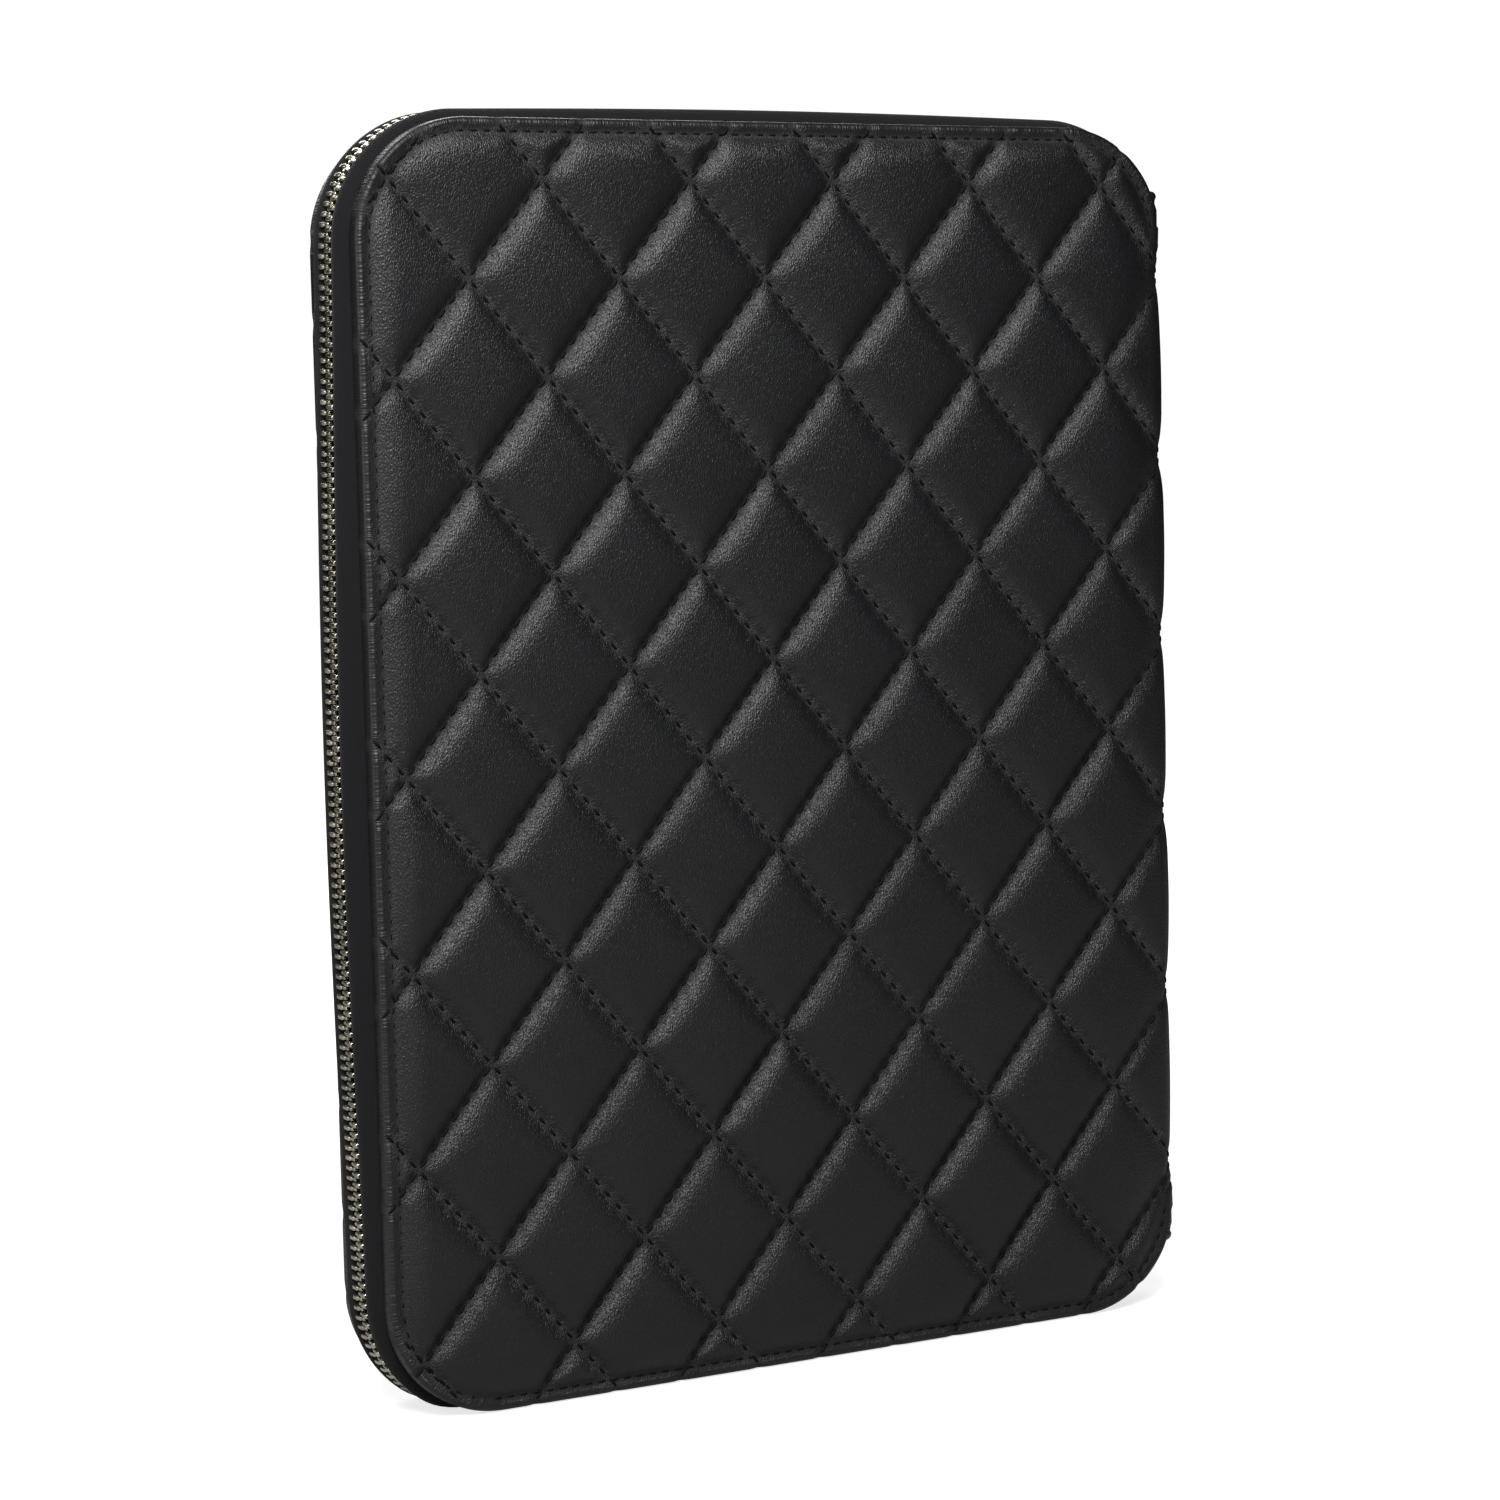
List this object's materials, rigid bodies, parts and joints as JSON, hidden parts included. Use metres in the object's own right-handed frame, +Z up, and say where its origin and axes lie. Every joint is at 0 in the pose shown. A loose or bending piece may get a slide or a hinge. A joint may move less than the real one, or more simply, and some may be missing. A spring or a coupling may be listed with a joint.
{
  "type": "zip-around jewellery case",
  "caption": "Flat upright case of diamond-quilted black leather with a metal zip round three sides. It opens like a book onto a ring roll, pockets and an earring panel.",
  "frame": {"origin": "middle of the base that the closed case stands on", "axes": "+Z up the case, -Y out of the front cover, +X towards the spine"},
  "size_m": [0.1918, 0.0252, 0.2563],
  "materials": {
    "black_leather": "semi-matt lambskin",
    "suede_lining": "fine suede",
    "wadding": "matt",
    "stiffener_board": "matt",
    "zip_tape": "twill weave",
    "zip_metal": "polished pale nickel"
  },
  "bodies": {
    "back_cover": {"back_leather": "black_leather", "back_padding": "wadding", "back_board": "stiffener_board", "back_lining": "suede_lining", "back_zip_tape": "zip_tape", "back_zip_teeth": "zip_metal", "back_upper_stop": "zip_metal", "back_lower_stop": "zip_metal", "back_pocket": "black_leather", "ring_rivet": "zip_metal", "ring_snap_socket": "zip_metal"},
    "spine": {"spine_leather": "black_leather", "spine_padding": "wadding", "spine_board": "stiffener_board", "spine_lining": "suede_lining"},
    "front_cover": {"front_leather": "black_leather", "front_padding": "wadding", "front_board": "stiffener_board", "front_lining": "suede_lining", "front_zip_tape": "zip_tape", "front_zip_teeth": "zip_metal", "front_upper_stop": "zip_metal", "front_lower_stop": "zip_metal", "front_pocket": "black_leather", "earring_panel": "black_leather", "necklace_strap_1": "black_leather", "necklace_strap_2": "black_leather", "necklace_strap_3": "black_leather", "necklace_snap_1": "zip_metal", "necklace_snap_2": "zip_metal", "necklace_snap_3": "zip_metal"},
    "zip_slider": {"zip_slider": "zip_metal"},
    "zip_pull": {"zip_pull": "zip_metal"},
    "ring_bar": {"ring_strap": "black_leather", "ring_roll": "suede_lining", "ring_snap_cap": "zip_metal"}
  },
  "joints": [
    {"name": "spine_fold", "type": "hinge", "parent": "back_cover", "child": "spine", "pos_m": [0.09435, 0.011, 0.127], "axis": [0, 0, 1], "range_deg": [0, 90]},
    {"name": "front_cover_fold", "type": "hinge", "parent": "spine", "child": "front_cover", "pos_m": [0.09435, -0.011, 0.127], "axis": [0, 0, 1], "range_deg": [0, 90]},
    {"name": "zip_run", "type": "slide", "parent": "back_cover", "child": "zip_slider", "axis": [-1, 0, 0], "range_m": [0, 0.1]},
    {"name": "pull_swing", "type": "hinge", "parent": "zip_slider", "child": "zip_pull", "pos_m": [0.06135, 0, 0.0017], "axis": [0, -1, 0], "range_deg": [0, 180]},
    {"name": "ring_bar_turn", "type": "hinge", "parent": "back_cover", "child": "ring_bar", "pos_m": [0.06035, 0.0054, 0.205], "axis": [0, -1, 0], "range_deg": [0, 30]}
  ],
  "couplings": [
    {"joint": "front_cover_fold", "follows": "spine_fold", "ratio": 1}
  ]
}
